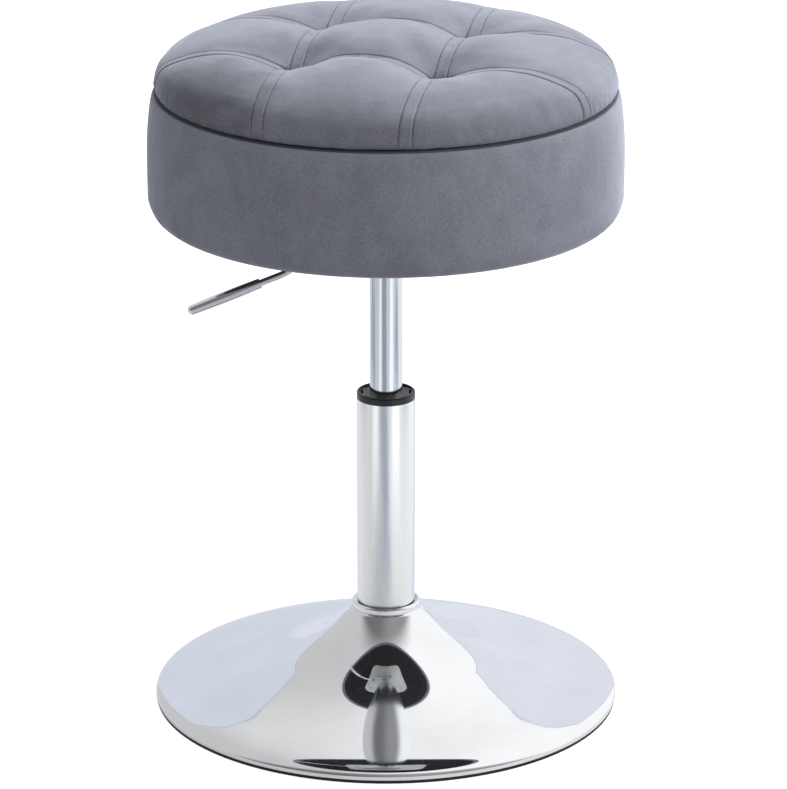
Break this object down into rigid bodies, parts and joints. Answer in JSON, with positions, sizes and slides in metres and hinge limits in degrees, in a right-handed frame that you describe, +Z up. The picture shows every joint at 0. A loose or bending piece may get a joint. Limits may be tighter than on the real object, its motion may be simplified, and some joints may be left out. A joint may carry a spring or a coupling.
{
  "type": "swivel stool",
  "caption": "Round padded storage stool with a tufted lift-off lid, on a gas lift column with a release lever and a trumpet base.",
  "frame": {"origin": "centre of the base, on the floor", "axes": "+Z up along the column, -X along the release lever, +Y to the back as pictured"},
  "size_m": [0.4, 0.4, 0.5969],
  "materials": {
    "velvet": "cool mid-grey velvet with a soft sheen",
    "black_cloth": "black non-woven cloth",
    "grey_lining": "dark grey woven lining",
    "foam": "pale polyurethane foam",
    "twine": "waxed twine",
    "plywood": "bare plywood",
    "chrome": "polished chrome plate",
    "satin_steel": "satin ground steel",
    "bare_steel": "bare zinc-plated steel",
    "black_steel": "black powder coat",
    "black_plastic": "black moulded plastic",
    "black_rubber": "black rubber",
    "brass": "turned brass"
  },
  "bodies": {
    "base": {"floor_ring": "black_rubber", "trumpet_base": "chrome", "base_plate": "black_steel", "base_hub": "black_steel", "collar_ring": "chrome", "column_tube": "chrome", "guide_bush": "black_plastic", "bearing_lower_race": "bare_steel", "bearing_balls": "bare_steel", "bearing_cage": "black_plastic"},
    "gas_rod": {"bearing_upper_race": "bare_steel", "end_clip": "bare_steel", "end_washer": "bare_steel", "piston_rod": "satin_steel", "piston": "bare_steel", "piston_nut": "bare_steel", "stop_bumper": "black_rubber"},
    "seat": {"gas_cylinder": "satin_steel", "cylinder_seal": "black_plastic", "valve_body": "brass", "taper_socket": "black_steel", "lever_housing": "black_steel", "mount_plate": "black_steel", "plate_bolts": "bare_steel", "plate_washers": "bare_steel", "tee_nuts": "bare_steel", "lever_pin": "bare_steel", "lever_spacers": "black_plastic", "drum_floor": "plywood", "drum_hoop": "plywood", "drum_cover": "velvet", "storage_lining": "grey_lining", "dust_cover": "black_cloth"},
    "lever": {"lever_blade": "black_steel", "lever_rod": "chrome", "lever_grip": "chrome"},
    "release_pin": {"release_pin": "bare_steel"},
    "lid": {"lid_board": "plywood", "lid_plug": "plywood", "lid_lining": "grey_lining", "lid_foam": "foam", "lid_cover": "velvet", "tuft_ties": "twine"}
  },
  "joints": [
    {"name": "swivel", "type": "hinge", "parent": "base", "child": "gas_rod", "pos_m": [0, 0, 0.021], "axis": [0, 0, 1], "continuous": true},
    {"name": "lift", "type": "slide", "parent": "gas_rod", "child": "seat", "axis": [0, 0, 1], "range_m": [-0.11, 0]},
    {"name": "lever_pull", "type": "hinge", "parent": "seat", "child": "lever", "pos_m": [-0.028, 0, 0.429], "axis": [0, 1, 0], "range_deg": [0, 9], "stiffness_Nm_per_rad": 0.6, "springref_deg": -5.73},
    {"name": "pin_press", "type": "slide", "parent": "seat", "child": "release_pin", "axis": [0, 0, -1], "range_m": [0, 0.005]},
    {"name": "lid_lift", "type": "slide", "parent": "seat", "child": "lid", "axis": [0, 0, 1], "range_m": [0, 0.15]}
  ],
  "couplings": [
    {"joint": "pin_press", "follows": "lever_pull", "m_per_rad": 0.029}
  ]
}
